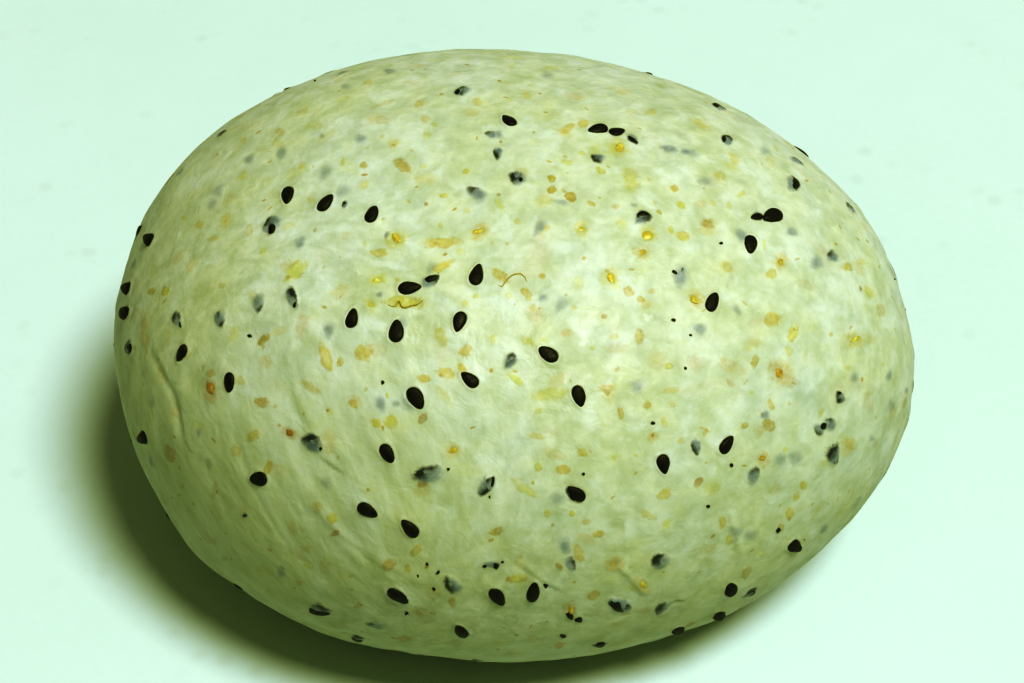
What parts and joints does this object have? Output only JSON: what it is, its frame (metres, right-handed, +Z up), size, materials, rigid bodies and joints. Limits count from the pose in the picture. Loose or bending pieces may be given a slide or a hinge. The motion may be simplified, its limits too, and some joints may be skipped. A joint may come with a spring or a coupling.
{
  "type": "dough ball",
  "caption": "Hand-rounded ball of unbaked multigrain bread dough with black sesame seeds, resting on a flat foot.",
  "frame": {"origin": "middle of the flat foot that the dough rests on, under the middle of its box", "axes": "+Z up out of the surface it rests on and the shortest extent, +X along the ball's longest extent"},
  "size_m": [0.1139, 0.0962, 0.069],
  "materials": {
    "dough": "satin",
    "black_sesame": "matte"
  },
  "bodies": {
    "root": {"dough_ball": "dough", "sesame_seed_01": "black_sesame", "sesame_seed_02": "black_sesame", "sesame_seed_03": "black_sesame", "sesame_seed_04": "black_sesame", "sesame_seed_05": "black_sesame", "sesame_seed_06": "black_sesame", "sesame_seed_07": "black_sesame", "sesame_seed_08": "black_sesame", "sesame_seed_09": "black_sesame", "sesame_seed_10": "black_sesame", "sesame_seed_11": "black_sesame", "sesame_seed_12": "black_sesame", "sesame_seed_13": "black_sesame", "sesame_seed_14": "black_sesame", "sesame_seed_15": "black_sesame", "sesame_seed_16": "black_sesame", "sesame_seed_17": "black_sesame", "sesame_seed_18": "black_sesame", "sesame_seed_19": "black_sesame", "sesame_seed_20": "black_sesame", "sesame_seed_21": "black_sesame", "sesame_seed_22": "black_sesame", "sesame_seed_23": "black_sesame", "sesame_seed_24": "black_sesame", "sesame_seed_25": "black_sesame", "sesame_seed_26": "black_sesame", "sesame_seed_27": "black_sesame", "sesame_seed_28": "black_sesame", "sesame_seed_29": "black_sesame", "sesame_seed_30": "black_sesame", "sesame_seed_31": "black_sesame", "sesame_seed_32": "black_sesame", "sesame_seed_33": "black_sesame", "sesame_seed_34": "black_sesame", "sesame_seed_35": "black_sesame", "sesame_seed_36": "black_sesame", "sesame_seed_37": "black_sesame", "sesame_seed_38": "black_sesame", "sesame_seed_39": "black_sesame", "sesame_seed_40": "black_sesame", "sesame_seed_41": "black_sesame", "sesame_seed_42": "black_sesame", "sesame_seed_43": "black_sesame", "sesame_seed_44": "black_sesame", "sesame_seed_45": "black_sesame", "sesame_seed_46": "black_sesame", "sesame_seed_47": "black_sesame", "sesame_seed_48": "black_sesame", "sesame_seed_49": "black_sesame", "sesame_seed_50": "black_sesame", "sesame_seed_51": "black_sesame", "sesame_seed_52": "black_sesame", "sesame_seed_53": "black_sesame", "sesame_seed_54": "black_sesame", "sesame_seed_55": "black_sesame", "sesame_seed_56": "black_sesame", "sesame_seed_57": "black_sesame"}
  },
  "joints": []
}
